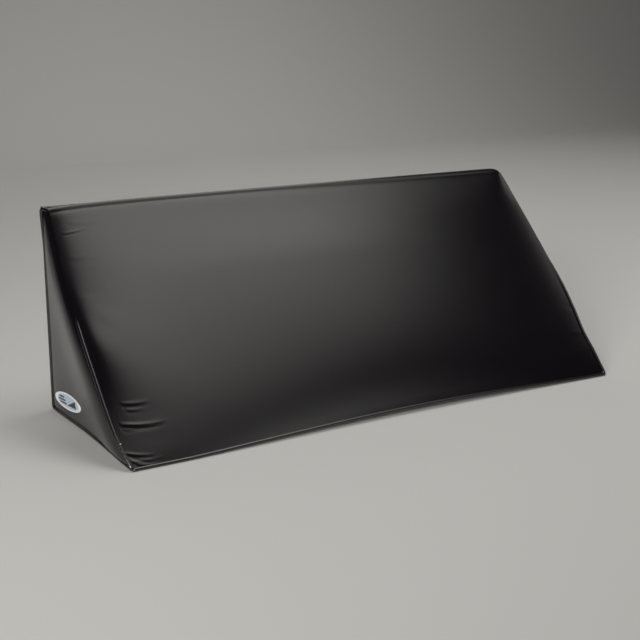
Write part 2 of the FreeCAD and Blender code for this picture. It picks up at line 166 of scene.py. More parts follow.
def back_heights():
    """Heights of the back's rows of points, closer together at the zip's two hems."""
    inside_hem = np.array([3.2, 2.1, 1.0]) * MM
    below = np.linspace(HEEL.z, STRIP_TOP - inside_hem[0], STRIP_ROWS - 2)
    slot = np.linspace(STRIP_TOP, PANEL_FOOT, SLOT_ROWS + 1)
    above = np.linspace(PANEL_FOOT + inside_hem[0], RIDGE.z, ALONG - STRIP_ROWS - SLOT_ROWS - 2)
    lower_hem, upper_hem = STRIP_TOP - inside_hem[1:], PANEL_FOOT + inside_hem[:0:-1]
    return np.concatenate([below, lower_hem, slot, upper_hem, above])


def crowded(count):
    """Places from 0 to 1 that lie closer together near both ends."""
    share = np.linspace(0, 1, count + 1)
    return share - END_CROWDING * np.sin(2 * np.pi * share) / (2 * np.pi)


# ---------------- the cover's panels as grids of points
CLOTH = 0.8 * MM
EDGE_RISE = 5.5 * MM
SIDE_ROLL = 24 * MM
LEFT_ROLL = (36 * MM, 5 * MM)
TOE_ROLL = 100 * MM
RIDGE_ROLL = 4 * MM
CROWN = 1.5 * MM
END_SWELL = 1.5 * MM
SEAM_SWELL = 7 * MM
SEAM_SINK = 2.4 * MM


def rolled(distance, reach):
    """How far a panel has risen from its seam, from 0 at the seam to 1 inside the panel."""
    return 1 - np.exp(-np.maximum(distance, 0) / reach)


def slope_grid():
    """The slope panel: up the slope, over the brow and back to the ridge seam."""
    share = np.linspace(0, 1, ALONG + 1)
    left, right = slope_seam("left", share), slope_seam("right", share)
    part = crowded(ACROSS)[:, None]
    x = left[None, :, 0] * (1 - part) + right[None, :, 0] * part
    y, z, normal_y, normal_z = profile(share)
    length = share * PROFILE
    from_left, from_right = x - left[None, :, 0], right[None, :, 0] - x
    left_roll = LEFT_ROLL[0] + (LEFT_ROLL[1] - LEFT_ROLL[0]) * smooth(share * 2.2)
    right_roll = SIDE_ROLL + (3.5 * MM - SIDE_ROLL) * smooth((share - 0.75) / 0.2)
    sides = rolled(from_left, left_roll) * rolled(from_right, right_roll)
    ends = rolled(length, TOE_ROLL) * rolled(PROFILE - length, RIDGE_ROLL)
    crown = CROWN * np.sin(np.pi * part) * np.sin(np.pi * share)
    upper = 0.25 * smooth((share - 0.2) / 0.2) + 0.55 * smooth((share - 0.4) / 0.3)
    gentle = 1 - upper * np.exp(-from_left / (38 * MM))
    left_rise = gentle + 0.5 * smooth(1 - from_left / (140 * MM)) * smooth(1.15 - share * 1.3)
    rise = (EDGE_RISE + crown) * sides * left_rise * ends
    drawn = toe_bow(x) * np.exp(-length / (22 * MM))
    grid_y = y + rise * normal_y + TOE_BOW * drawn
    grid_z = z + rise * normal_z + TOE_LIFT * drawn
    return np.stack([x, grid_y, grid_z], axis=-1)


def back_reach(side, heights):
    """Where the back's seam with an end panel lies across the width, at each height."""
    ridge_x = slope_seam(side, 1.0)[0]
    near_ridge = smooth((heights - (RIDGE.z - 45 * MM)) / (45 * MM))
    return SIGN[side] * LOOP_X * (1 - near_ridge) + ridge_x * near_ridge


def back_grid():
    """The back: the upper panel, the zip's slot and the strip under it, as one grid."""
    heights = back_heights()
    part = crowded(ACROSS)[:, None]
    left, right = back_reach("left", heights), back_reach("right", heights)
    x = left * (1 - part) + right * part
    inside = np.minimum(x - left, right - x)
    sides = rolled(inside, SIDE_ROLL)
    seams = rolled(heights - HEEL.z, 6 * MM) * rolled(RIDGE.z - heights, 10 * MM)
    flat = (BACK_FACE - HEEL.y) * rolled(inside, 4 * MM)
    above = np.clip((heights - PANEL_FOOT) / (RIDGE.z - PANEL_FOOT), 0, 1)
    bulge = 4.5 * MM * np.sin(np.pi * above**0.8) * sides
    y = HEEL.y + flat * seams + bulge
    y, z = np.broadcast_arrays(y, heights)
    return np.stack([x, y, z], axis=-1)


def base_grid():
    """The base panel, flat on the floor, with its edges turned up to the seams."""
    share = np.linspace(0, 1, ALONG + 1)
    part = crowded(ACROSS)[:, None]
    left, right = foot_seam("left", share), foot_seam("right", share)
    x = left[None, :, 0] * (1 - part) + right[None, :, 0] * part
    toe = toe_seam(x[:, :1])
    y = toe[..., 1] * (1 - share) + HEEL.y * share
    floor = 0.7 * MM
    inside = np.minimum(x - left[None, :, 0], right[None, :, 0] - x)
    from_toe = np.exp(-(y - toe[..., 1]) / (2.8 * MM)) * (toe[..., 2] - floor)
    from_heel = np.exp(-(HEEL.y - y) / (5 * MM)) * (HEEL.z - floor)
    from_side = np.exp(-inside / (2.2 * MM)) * (left[:, 2] - floor)
    z = floor + np.maximum(np.maximum(from_toe, from_heel), from_side)
    return np.stack([x, y, z], axis=-1)


def end_cells():
    """Pairs of steps (up the slope seam, along the foot seam) that lie on an end panel."""
    return [(up, along) for up in range(ALONG + 1) for along in range(ALONG + 1 - up)]


def end_rim(side):
    """The end panel's points that lie on a seam, by cell."""
    share = np.linspace(0, 1, ALONG + 1)
    slope, foot, back = slope_seam(side, share), foot_seam(side, share), back_grid()
    column = back[0 if side == "left" else -1]
    rim = {(ALONG - step, step): column[ALONG - step] for step in range(ALONG + 1)}
    rim |= {(0, step): foot[step] for step in range(ALONG + 1)}
    rim |= {(step, 0): slope[step] for step in range(ALONG)}
    rim[(0, ALONG)] = column[0]
    rim[(ALONG, 0)] = slope[ALONG]
    return rim


NEXT_CELLS = ((1, 0), (-1, 0), (0, 1), (0, -1), (1, -1), (-1, 1))


def end_points(side):
    """The end panel's points by cell: spread evenly inside its seams, then shaped across."""
    cells, rim = end_cells(), end_rim(side)
    free = [cell for cell in cells if cell not in rim]
    number = {cell: index for index, cell in enumerate(free)}
    links = np.zeros((len(free), len(free)))
    known = np.zeros((len(free), 2))
    for (up, along), index in number.items():
        links[index, index] = len(NEXT_CELLS)
        for step_up, step_along in NEXT_CELLS:
            beside = (up + step_up, along + step_along)
            if beside in number:
                links[index, number[beside]] = -1
            else:
                known[index] += rim[beside][1:]
    spread = np.linalg.solve(links, known)
    points = {cell: np.array(place, float) for cell, place in rim.items()}
    seam = np.array([rim[(step, 0)] for step in range(ALONG + 1)])
    for cell, index in number.items():
        y, z = spread[index]
        gaps = np.hypot(seam[:, 1] - y, seam[:, 2] - z)
        nearest = int(np.argmin(gaps))
        from_slope = gaps[nearest]
        from_rest = min(HEEL.y - y, z - HEEL.z)
        swell = END_SWELL * rolled(from_rest, 34 * MM) * rolled(from_slope, 20 * MM)
        beside_seam = rolled(from_slope, 12 * MM) * math.exp(-((from_slope / (60 * MM)) ** 2))
        swell += SEAM_SWELL * rolled(from_rest, 20 * MM) * beside_seam
        face = LOOP_X + (END_FACE - LOOP_X) * rolled(from_rest, 4 * MM)
        stand = abs(seam[nearest, 0]) - face
        reach = 40 * MM if stand > 0 else 3.5 * MM
        offset = stand * math.exp(-((from_slope / reach) ** 1.5))
        points[cell] = np.array([SIGN[side] * (face + offset + swell), y, z])
    return points


# ---------------- one closed cloth, sewn at its seams
def grid_faces(rows, columns, outward):
    """Faces of a full grid."""
    faces = []
    for row in range(rows - 1):
        for col in range(columns - 1):
            first = row * columns + col
            face = (first, first + columns, first + columns + 1, first + 1)
            faces.append(face if outward else face[::-1])
    return faces


class Cover:
    """The whole cover as one mesh with shared points at its seams, kept with each panel's own grid."""

    def __init__(self):
        self.points = []
        self.lookup = {}
        self.faces = []

    def point(self, place):
        """The number of the point at a place, made if it is new."""
        key = tuple(np.round(np.asarray(place) / (5e-6)).astype(int))
        if key not in self.lookup:
            self.lookup[key] = len(self.points)
            self.points.append(np.array(place, float))
        return self.lookup[key]

    def add_grid(self, grid, outward):
        """Add a panel that is a full grid; outward says whether its own order faces out."""
        rows, columns = grid.shape[:2]
        index = np.array([[self.point(place) for place in row] for row in grid])
        numbers = index.ravel()
        for face in grid_faces(rows, columns, outward):
            self.faces.append([numbers[corner] for corner in face])
        return index

    def add_end(self, side):
        """Add an end panel, whose grid is three-sided."""
        index = {cell: self.point(place) for cell, place in end_points(side).items()}
        for face in end_faces():
            numbers = [index[cell] for cell in face]
            self.faces.append(numbers if side == "left" else numbers[::-1])
        return index


def end_faces():
    """The end panel's faces as tuples of cells: squares, and triangles along the back seam."""
    faces = []
    for up, along in end_cells():
        if up + along + 2 <= ALONG:
            faces.append(((up, along), (up + 1, along), (up + 1, along + 1), (up, along + 1)))
        elif up + along + 1 <= ALONG:
            faces.append(((up, along), (up + 1, along), (up, along + 1)))
    return faces


# ---------------- the cloth simulation
SIM_SCALE = 5.0
SIM_FRAMES = 24
SLACK = 0.008
SETTLING = 0.25
MOST_SHIFT = 4 * MM
MOST_SINK = 0.4 * MM


def read_all(items, name, width=1, kind=float):
    """One attribute of many items of a mesh, as an array with a row for each."""
    values = np.empty(len(items) * width, kind)
    items.foreach_get(name, values)
    return values.reshape(-1, width) if width > 1 else values


def slack_weights(points):
    """Where the cloth was cut with a little to spare: beside the end seams, away from the ridge."""
    from_end = LOOP_X - abs(points[:, 0])
    beside = np.exp(-(np.maximum(from_end, 0) / (40 * MM)) ** 2)
    return np.clip(beside * smooth((RIDGE.z - points[:, 2]) / (90 * MM)), 0.02, 1)


def simulate(points, faces, held):
    """Let the cover settle over its filling, and return the points' new places."""
    mesh = bpy.data.meshes.new("settling")
    mesh.from_pydata((points * SIM_SCALE).tolist(), [], faces)
    cloth_object = bpy.data.objects.new("settling", mesh)
    bpy.context.scene.collection.objects.link(cloth_object)
    held_weights = np.zeros(len(points))
    held_weights[sorted(held)] = 1.0
    for name, weights in (("held", held_weights), ("slack", slack_weights(points))):
        group = cloth_object.vertex_groups.new(name=name)
        for index in np.flatnonzero(weights):
            group.add([int(index)], float(weights[index]), "REPLACE")
    cloth = cloth_object.modifiers.new("cloth", "CLOTH")
    settings = cloth.settings
    settings.quality = 6
    settings.mass = 0.3
    settings.tension_stiffness = 25
    settings.compression_stiffness = 25
    settings.shear_stiffness = 10
    settings.bending_stiffness = 0.4
    settings.air_damping = 2
    settings.vertex_group_mass = "held"
    settings.vertex_group_shrink = "slack"
    settings.shrink_min = 0.0
    settings.shrink_max = -SLACK
    settings.use_pressure = True
    settings.uniform_pressure_force = 0.4
    settings.effector_weights.gravity = 0
    cloth.collision_settings.use_collision = False
    cloth.point_cache.frame_start = 1
    cloth.point_cache.frame_end = SIM_FRAMES
    for step in range(1, SIM_FRAMES + 1):
        bpy.context.scene.frame_set(step)
    settled = cloth_object.evaluated_get(bpy.context.evaluated_depsgraph_get())
    places = read_all(settled.data.vertices, "co", 3)
    bpy.context.scene.frame_set(1)
    bpy.data.objects.remove(cloth_object)
    bpy.data.meshes.remove(mesh)
    return places / SIM_SCALE


def outward(points, faces):
    """The cover's outward direction at each point."""
    mesh = bpy.data.meshes.new("outward")
    mesh.from_pydata(points.tolist(), [], faces)
    directions = read_all(mesh.vertex_normals, "vector", 3)
    bpy.data.meshes.remove(mesh)
    return directions


def settle(cover, held):
    """The cover's points after the cloth has settled, kept from sinking in or lifting far off."""
    start = np.array(cover.points)
    shift = (simulate(start, cover.faces, held) - start) * SETTLING
    size = np.linalg.norm(shift, axis=1, keepdims=True)
    shift *= MOST_SHIFT * np.tanh(size / MOST_SHIFT) / np.maximum(size, 1e-9)
    out = outward(start, cover.faces)
    shift *= smooth((RIDGE.z - 8 * MM - start[:, 2:]) / (60 * MM))
    sunk = np.minimum(np.sum(shift * out, axis=1, keepdims=True), 0)
    return start + shift - out * (sunk - MOST_SINK * np.tanh(sunk / MOST_SINK))


# ---------------- meshes, pieces and their cloth map
def make_object(name, points, faces, cloth_map=None):
    """A smooth-shaded mesh object; cloth_map gives each point's place on its flat cloth, in metres."""
    mesh = bpy.data.meshes.new(name)
    mesh.from_pydata(np.asarray(points).tolist(), [], [tuple(int(i) for i in face) for face in faces])
    mesh.polygons.foreach_set("use_smooth", [True] * len(mesh.polygons))
    if cloth_map is not None:
        layer = mesh.uv_layers.new(name="cloth")
        corners = read_all(mesh.loops, "vertex_index", kind=int)
        layer.data.foreach_set("uv", np.asarray(cloth_map, float)[corners].ravel())
    mesh.update()
    piece = bpy.data.objects.new(name, mesh)
    bpy.context.scene.collection.objects.link(piece)
    return piece


def finer(piece, levels):
    """Subdivide a piece smoothly and keep the result."""
    step = piece.modifiers.new("finer", "SUBSURF")
    step.levels = step.render_levels = levels
    step.boundary_smooth = "PRESERVE_CORNERS"
    step.uv_smooth = "PRESERVE_BOUNDARIES"
    dense = bpy.data.meshes.new_from_object(piece.evaluated_get(bpy.context.evaluated_depsgraph_get()))
    piece.modifiers.clear()
    coarse = piece.data
    name = coarse.name
    piece.data = dense
    bpy.data.meshes.remove(coarse)
    dense.name = name


def band_faces(rows, columns, first=0, closed=False):
    """Faces between rows of points, each row numbered after the last; closed joins a row's ends."""
    faces = []
    for low in range(first, first + (rows - 1) * columns, columns):
        for col in range(columns if closed else columns - 1):
            beside = (col + 1) % columns
            faces.append((low + col, low + beside, low + columns + beside, low + columns + col))
    return faces


def read_points(piece):
    """A piece's points, their normals and their places on the flat cloth."""
    mesh = piece.data
    corners = read_all(mesh.loops, "vertex_index", kind=int)
    cloth_map = np.zeros((len(mesh.vertices), 2))
    cloth_map[corners] = read_all(mesh.uv_layers["cloth"].data, "uv", 2)
    return read_all(mesh.vertices, "co", 3), read_all(mesh.vertex_normals, "vector", 3), cloth_map


def write_points(piece, points):
    """Put a piece's points in new places."""
    piece.data.vertices.foreach_set("co", np.asarray(points, float).ravel())
    piece.data.update()


def finish_piece(piece, look, replaced=()):
    """Give a piece its material and its body, and hide the CAD parts that it replaces."""
    piece.data.materials.append(LOOKS[look])
    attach(piece, "wedge")
    if replaced:
        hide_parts(*replaced)
    return piece


# ---------------- tubes along a path
def evenly(path, spacing, closed=False):
    """Points evenly spaced along a path."""
    path = np.asarray(path, float)
    if closed:
        path = np.vstack([path, path[:1]])
    steps = np.linalg.norm(np.diff(path, axis=0), axis=1)
    place = np.concatenate([[0], np.cumsum(steps)])
    count = max(int(round(place[-1] / spacing)), 8)
    wanted = np.linspace(0, place[-1], count + 1)
    if closed:
        wanted = wanted[:-1]
    return np.stack([np.interp(wanted, place, path[:, axis]) for axis in range(3)], axis=1)


def rounded(path, passes, closed=False):
    """The path with its corners eased."""
    path = path.copy()
    for _ in range(passes):
        before, after = np.roll(path, 1, axis=0), np.roll(path, -1, axis=0)
        eased = 0.5 * path + 0.25 * (before + after)
        if not closed:
            eased[0], eased[-1] = path[0], path[-1]
        path = eased
    return path


def frames_along(path, closed=False):
    """Two directions across the path at each of its points, turning as little as possible."""
    if closed:
        ahead = np.roll(path, -1, axis=0) - np.roll(path, 1, axis=0)
    else:
        ahead = np.gradient(path, axis=0)
    ahead /= np.linalg.norm(ahead, axis=1, keepdims=True)
    across = np.cross(ahead[0], [0.3, 0.2, 0.9])
    sides = []
    for direction in ahead:
        across = across - direction * np.dot(across, direction)
        across /= np.linalg.norm(across)
        sides.append(across.copy())
    sides = np.array(sides)
    if closed:
        last = sides[-1] - ahead[0] * np.dot(sides[-1], ahead[0])
        last /= np.linalg.norm(last)
        turn = math.atan2(np.dot(np.cross(last, sides[0]), ahead[0]), np.dot(last, sides[0]))
        share = np.arange(len(path))[:, None] / len(path)
        other = np.cross(ahead, sides)
        sides = sides * np.cos(turn * share) + other * np.sin(turn * share)
    return sides, np.cross(ahead, sides)


def tube(name, path, radius, around=16, closed=False):
    """A tube of cloth or cord along a path."""
    side, other = frames_along(path, closed)
    gaps = np.linalg.norm(np.diff(path, axis=0), axis=1)
    place = np.concatenate([[0], np.cumsum(gaps)])
    angle = np.linspace(0, 2 * np.pi, around, endpoint=False)
    ring = side[:, None, :] * np.cos(angle)[:, None] + other[:, None, :] * np.sin(angle)[:, None]
    points = (path[:, None, :] + ring * radius).reshape(-1, 3)
    faces, corner_map = [], []
    rows = len(path) if closed else len(path) - 1
    total = place[-1] + (gaps.mean() if closed else 0)
    for row in range(rows):
        ahead = (row + 1) % len(path)
        for col in range(around):
            beside = (col + 1) % around
            low, high = row * around, ahead * around
            faces.append((low + col, low + beside, high + beside, high + col))
            start = place[row]
            end = total if ahead == 0 else place[ahead]
            under, over = (step * 2 * np.pi * radius / around for step in (col, col + 1))
            corner_map += [(start, under), (start, over), (end, over), (end, under)]
    if not closed:
        faces.append(tuple(reversed(range(around))))
        faces.append(tuple((len(path) - 1) * around + col for col in range(around)))
        corner_map += [(0, 0)] * (2 * around)
    piece = make_object(name, points, faces)
    layer = piece.data.uv_layers.new(name="cloth")
    layer.data.foreach_set("uv", np.array(corner_map, float).ravel())
    return piece


# ---------------- materials
# A wave texture at scale 1 repeats about every 0.31 m.
WAVE_BAND = 0.31
FINE_RELIEF = 0.00002
WOVEN_RELIEF = 0.00008


class Nodes:
    """A node tree, with short ways to add nodes to it and to join them."""

    def __init__(self, tree):
        self.nodes = tree.nodes
        self.link = tree.links.new

    def add(self, kind, **values):
        """A node of a kind, with its settings and input values given by name."""
        node = self.nodes.new("ShaderNode" + kind)
        for key, value in values.items():
            if hasattr(node, key):
                setattr(node, key, value)
            else:
                node.inputs[key.replace("_", " ").title()].default_value = value
        return node

    def mapped(self, place, **values):
        """A place, scaled or turned."""
        mapping = self.add("Mapping", **values)
        self.link(place, mapping.inputs["Vector"])
        return mapping.outputs["Vector"]

    def flat_cloth(self, scale):
        """The place on the flat cloth, scaled from metres."""
        place = self.add("UVMap", uv_map="cloth").outputs["UV"]
        return self.mapped(place, scale=(scale, scale, scale))

    def in_space(self, scale):
        """The place in the piece's own space, scaled from metres."""
        place = self.add("TexCoord").outputs["Object"]
        return self.mapped(place, scale=(scale, scale, scale))

    def noise(self, vector, scale, detail=3.0):
        """A noise texture's value."""
        texture = self.add("TexNoise", scale=scale, detail=detail)
        self.link(vector, texture.inputs["Vector"])
        return texture.outputs["Fac"]

    def spread(self, value, low, high):
        """A value from 0 to 1 spread between two others."""
        ramp = self.add("MapRange", to_min=low, to_max=high)
        self.link(value, ramp.inputs["Value"])
        return ramp.outputs["Result"]

    def between(self, value, low, high):
        """A colour between two others."""
        mix = self.add("Mix", data_type="RGBA")
        mix.inputs[6].default_value = (*low, 1)
        mix.inputs[7].default_value = (*high, 1)
        self.link(value, mix.inputs[0])
        return mix.outputs[2]

    def joined(self, first, second, operation="MULTIPLY"):
        """Two values joined by a product, a sum or the like."""
        both = self.add("Math", operation=operation)
        self.link(first, both.inputs[0])
        self.link(second, both.inputs[1])
        return both.outputs[0]

    def threads(self, vector, turn):
        """Rounded ridges in one direction, 0 to 1."""
        turned = self.mapped(vector, rotation=(0, 0, math.radians(turn)))
        wave = self.add("TexWave", wave_type="BANDS", bands_direction="X", scale=1.0, distortion=0.4)
        self.link(turned, wave.inputs["Vector"])
        return wave.outputs["Fac"]


class Look(Nodes):
    """A material in the making, with the Principled shader that its nodes feed."""

    def __init__(self, name):
        self.material = bpy.data.materials.new(name)
        self.material.use_nodes = True
        super().__init__(self.material.node_tree)
        self.nodes.clear()
        self.shader = self.add("BsdfPrincipled")
        self.link(self.shader.outputs["BSDF"], self.add("OutputMaterial").inputs["Surface"])

    def feed(self, socket, value):
        """Link a value to one of the shader's inputs."""
        self.link(value, self.shader.inputs[socket])

    def set(self, socket, value):
        """Set one of the shader's inputs to the same value all over."""
        self.shader.inputs[socket].default_value = value

    def bump(self, height, depth):
        """Raise the surface by a height from 0 to 1 times a depth in metres."""
        node = self.add("Bump", strength=1.0, distance=depth)
        self.link(height, node.inputs["Height"])
        self.feed("Normal", node.outputs["Normal"])


def coated_cloth(name, dark, light, roughness, turn=0, weave=1.1, depth=FINE_RELIEF, gloss=0.5):
    """A dark coated cloth: its fine weave shows through the coating, and its gloss varies softly."""
    look = Look(name)
    vector = look.flat_cloth(1.0)
    look.feed("Base Color", look.between(look.noise(vector, 14.0), dark, light))
    look.feed("Roughness", look.spread(look.noise(vector, 45.0, 5.0), *roughness))
    look.set("Specular IOR Level", gloss)
    weft = look.flat_cloth(WAVE_BAND / (weave * MM))
    grain = look.joined(look.threads(weft, turn), look.threads(weft, turn + 90))
    look.bump(look.joined(grain, look.noise(vector, 1500.0), "ADD"), depth)
    return look.material


def woven(name, dark, light, roughness, turn=45, weave=0.6, sheen=0.2):
    """A plain woven tape or ribbon."""
    look = Look(name)
    upright = look.mapped(look.in_space(WAVE_BAND / (weave * MM)), rotation=(math.radians(90), 0, 0))
    ridges = look.threads(upright, turn)
    look.feed("Base Color", look.between(ridges, dark, light))
    fuzz = look.noise(look.in_space(1.0), 900.0)
    look.feed("Roughness", look.spread(fuzz, roughness - 0.06, roughness + 0.06))
    look.set("Sheen Weight", sheen)
    look.bump(ridges, WOVEN_RELIEF)
    return look.material


def plain(name, dark, light, roughness, grain=600.0, coat=0.0):
    """A solid material with a fine grain in its colour, gloss and surface."""
    look = Look(name)
    vector = look.in_space(1.0)
    fine = look.noise(vector, grain, 4.0)
    look.feed("Base Color", look.between(fine, dark, light))
    look.feed("Roughness", look.spread(look.noise(vector, grain / 6), *roughness))
    look.set("Coat Weight", coat)
    look.bump(fine, FINE_RELIEF)
    return look.material


def open_foam(name):
    """Cream polyurethane foam: open cells all over."""
    look = Look(name)
    cells = look.add("TexVoronoi", scale=700.0)
    look.link(look.in_space(1.0), cells.inputs["Vector"])
    distance = cells.outputs["Distance"]
    look.feed("Base Color", look.between(distance, (0.42, 0.39, 0.30), (0.72, 0.68, 0.56)))
    look.set("Roughness", 0.95)
    look.bump(distance, 0.0005)
    return look.material


# Darker than real coated cloth: these were chosen with the lights, to match the photo's shading.
COVER_DARK, COVER_LIGHT = (0.0030, 0.0018, 0.0032), (0.0044, 0.0031, 0.0046)
LOOKS = {
    "cover_cloth": coated_cloth("cover_cloth", COVER_DARK, COVER_LIGHT, (0.16, 0.20)),
    "piping_cloth": coated_cloth("piping_cloth", COVER_DARK, COVER_LIGHT, (0.20, 0.26), turn=45, gloss=1.0),
    "non_slip_cloth": coated_cloth("non_slip_cloth", (0.02, 0.02, 0.022), (0.03, 0.03, 0.032), (0.6, 0.75),
                                   weave=1.6, depth=0.0001),
    "grip": plain("grip_rubber", (0.03, 0.03, 0.032), (0.045, 0.045, 0.048), (0.5, 0.65), grain=900.0),
    "foam": open_foam("foam"),
    "filler_cord": woven("filler_cord", (0.50, 0.49, 0.46), (0.72, 0.70, 0.66), 0.9, turn=35),
    "zip_tape": woven("zip_tape", (0.012, 0.012, 0.013), (0.035, 0.035, 0.038), 0.8, turn=45),
    "zip_coil": plain("zip_coil", (0.012, 0.012, 0.013), (0.02, 0.02, 0.022), (0.30, 0.40)),
    "zip_metal": plain("zip_metal", (0.010, 0.010, 0.011), (0.018, 0.018, 0.019), (0.22, 0.34), coat=0.6),
    "thread": woven("thread", (0.015, 0.014, 0.016), (0.05, 0.048, 0.052), 0.55, turn=60, weave=0.25),
    "badge_field": plain("badge_field", (0.42, 0.50, 0.58), (0.50, 0.58, 0.66), (0.40, 0.50)),
    "badge_rim": plain("badge_rim", (0.80, 0.82, 0.84), (0.88, 0.89, 0.90), (0.38, 0.48)),
    "badge_emblem": plain("badge_emblem", (0.018, 0.028, 0.045), (0.03, 0.042, 0.062), (0.40, 0.50)),
    "label": woven("label", (0.70, 0.70, 0.69), (0.86, 0.86, 0.85), 0.5, turn=0, weave=0.4, sheen=0.1),
}


# ---------------- the cover, panel by panel
class Panels:
    """The settled cover, with the way to lift one panel's own points out of it."""

    def __init__(self):
        cover = Cover()
        self.slope = cover.add_grid(slope_grid(), True)
        self.back = cover.add_grid(back_grid(), False)
        self.base = cover.add_grid(base_grid(), True)
        self.ends = {side: cover.add_end(side) for side in ("left", "right")}
        self.start = np.array(cover.points)
        held = set(self.base.ravel()) | self.rim(self.slope) | self.rim(self.back)
        held |= set(self.back[:, STRIP_ROWS:STRIP_ROWS + SLOT_ROWS + 1].ravel())
        self.points = settle(cover, held)

    @staticmethod
    def rim(index):
        """The numbers of the points round a grid's edge."""
        return set(index[0]) | set(index[-1]) | set(index[:, 0]) | set(index[:, -1])


# Creases in the slope panel: (x, distance up from the toe) of both ends, then width and height, in mm.
# Their places were read from the photo, and their widths and heights are listed.
LEFT_CREASES = [
    ((-297, 270), (-266, 275), 1.2, 0.22),
    ((-288, 283), (-240, 281), 2.5, 0.06),
    ((-300, 240), (-262, 241), 3.0, 0.05),
    ((-302, 196), (-270, 198), 3.5, -0.04),
    ((-296, 69), (-266, 67), 1.8, 0.30),
    ((-293, 62), (-274, 60), 1.6, 0.16),
    ((-303, 48), (-256, 43), 1.8, 0.50),
    ((-302, 43), (-284, 41), 1.5, 0.16),
    ((-309, 19), (-276, 11), 1.2, 0.36),
    ((-304, 9), (-268, 8), 1.5, 0.22),
    ((-303, 12), (-285, 5), 1.3, -0.30),
    ((-300, 5), (-276, 2), 1.2, 0.28),
]
RIGHT_CREASES = [
    ((302, 60), (272, 62), 3.5, 0.12),
    ((304, 96), (280, 99), 3.0, -0.1),
    ((303, 282), (280, 284), 2.0, -0.12),
    ((300, 16), (278, 13), 2.0, 0.15),
]


def crease(cloth_map, start, end, width, height):
    """The height of one crease at each point: a ridge that fades at its ends, with a hollow below it."""
    start, end = np.array(start) * MM, np.array(end) * MM
    along = end - start
    reach = np.linalg.norm(along)
    along /= reach
    offset = cloth_map - start
    place = (offset @ along) / reach
    across = (offset @ np.array([-along[1], along[0]])) * np.sign(along[0])
    across = across + 0.05 * reach * np.sin(np.pi * np.clip(place, 0, 1))
    fade = np.where((place > 0) & (place < 1), np.sin(np.pi * np.clip(place, 0, 1) ** 0.6), 0)
    size = width * MM
    ridge = np.exp(-((across / size) ** 2))
    hollow = 0.6 * np.exp(-(((across + 1.9 * size) / (1.3 * size)) ** 2))
    return height * MM * (ridge - hollow) * fade


def add_creases(piece, creases):
    """Fold the listed creases into a piece."""
    points, normals, cloth_map = read_points(piece)
    rise = sum(crease(cloth_map, *one) for one in creases)
    write_points(piece, points + normals * rise[:, None])


def slope_piece(panels):
    """The slope panel."""
    columns, rows = panels.slope.shape
    places = panels.points[panels.slope].reshape(-1, 3)
    length = np.broadcast_to(np.linspace(0, PROFILE, rows), (columns, rows)).ravel()
    cloth_map = np.stack([panels.start[panels.slope][..., 0].ravel(), length], axis=1)
    piece = make_object("cover_slope", places, grid_faces(columns, rows, True), cloth_map)
    finer(piece, 2)
    add_creases(piece, LEFT_CREASES + RIGHT_CREASES)
    return finish_piece(piece, "cover_cloth", ["slope_panel"])


def end_piece(panels, side):
    """An end panel."""
    cells = end_cells()
    number = {cell: index for index, cell in enumerate(cells)}
    index = [panels.ends[side][cell] for cell in cells]
    faces = [tuple(number[cell] for cell in face) for face in end_faces()]
    if side == "right":
        faces = [face[::-1] for face in faces]
    cloth_map = panels.start[index][:, 1:]
    piece = make_object(f"cover_end_{side}", panels.points[index], faces, cloth_map)
    finer(piece, 2)
    return finish_piece(piece, "cover_cloth", [f"end_panel_{side}"])


def hemmed_piece(panels, name, index, replaced):
    """A piece of the back with the thickness of its cloth, which shows at the zip."""
    cloth_map = panels.start[index][..., [0, 2]].reshape(-1, 2)
    faces = grid_faces(*index.shape, False)
    piece = make_object(name, panels.points[index].reshape(-1, 3), faces, cloth_map)
    hem = piece.modifiers.new("hem", "SOLIDIFY")
    hem.thickness = CLOTH
    hem.offset = -1
    finer(piece, 1)
    return finish_piece(piece, "cover_cloth", [replaced])


def zip_end_piece(panels, side):
    """The cloth that closes the back beyond one end of the zip."""
    index = panels.back[:, STRIP_ROWS:STRIP_ROWS + SLOT_ROWS + 1]
    kept = SIGN[side] * panels.start[index[:, 0], 0] > ZIP_END
    hemmed_piece(panels, f"cover_zip_end_{side}", index[kept], f"zip_end_tab_{side}")


def base_piece(panels):
    """The base panel."""
    columns, rows = panels.base.shape
    cloth_map = panels.start[panels.base][..., :2].reshape(-1, 2)
    faces = grid_faces(columns, rows, True)
    piece = make_object("cover_base", panels.points[panels.base].reshape(-1, 3), faces, cloth_map)
    finer(piece, 1)
    return finish_piece(piece, "non_slip_cloth", ["base_panel"])


DOT_PITCH = 11 * MM
DOT_RADIUS = 2.0 * MM
DOT_SIDES = 8
DOT_RINGS = [(1.0, 0.75), (0.75, 0.25), (0.35, 0.02)]


def grip_dots():
    """Rubber dots all over the base panel, which keep the board from sliding."""
    turns = np.linspace(0, 2 * np.pi, DOT_SIDES, endpoint=False)
    points, faces = [], []
    for row, y in enumerate(np.arange(-92, 96, 11) * MM):
        for x in np.arange(-286, 287, 11) * MM + (row % 2) * DOT_PITCH / 2:
            first = len(points)
            for share, height in DOT_RINGS:
                reach = share * DOT_RADIUS
                points += [(x + reach * math.cos(turn), y + reach * math.sin(turn), height * MM)
                           for turn in turns]
            sides = band_faces(len(DOT_RINGS), DOT_SIDES, first, closed=True)
            faces += [(low, high, next_high, next_low) for low, next_low, next_high, high in sides]
            top = first + (len(DOT_RINGS) - 1) * DOT_SIDES
            faces.append(tuple(top + step for step in reversed(range(DOT_SIDES))))
    finish_piece(make_object("grip_dots", points, faces), "grip")


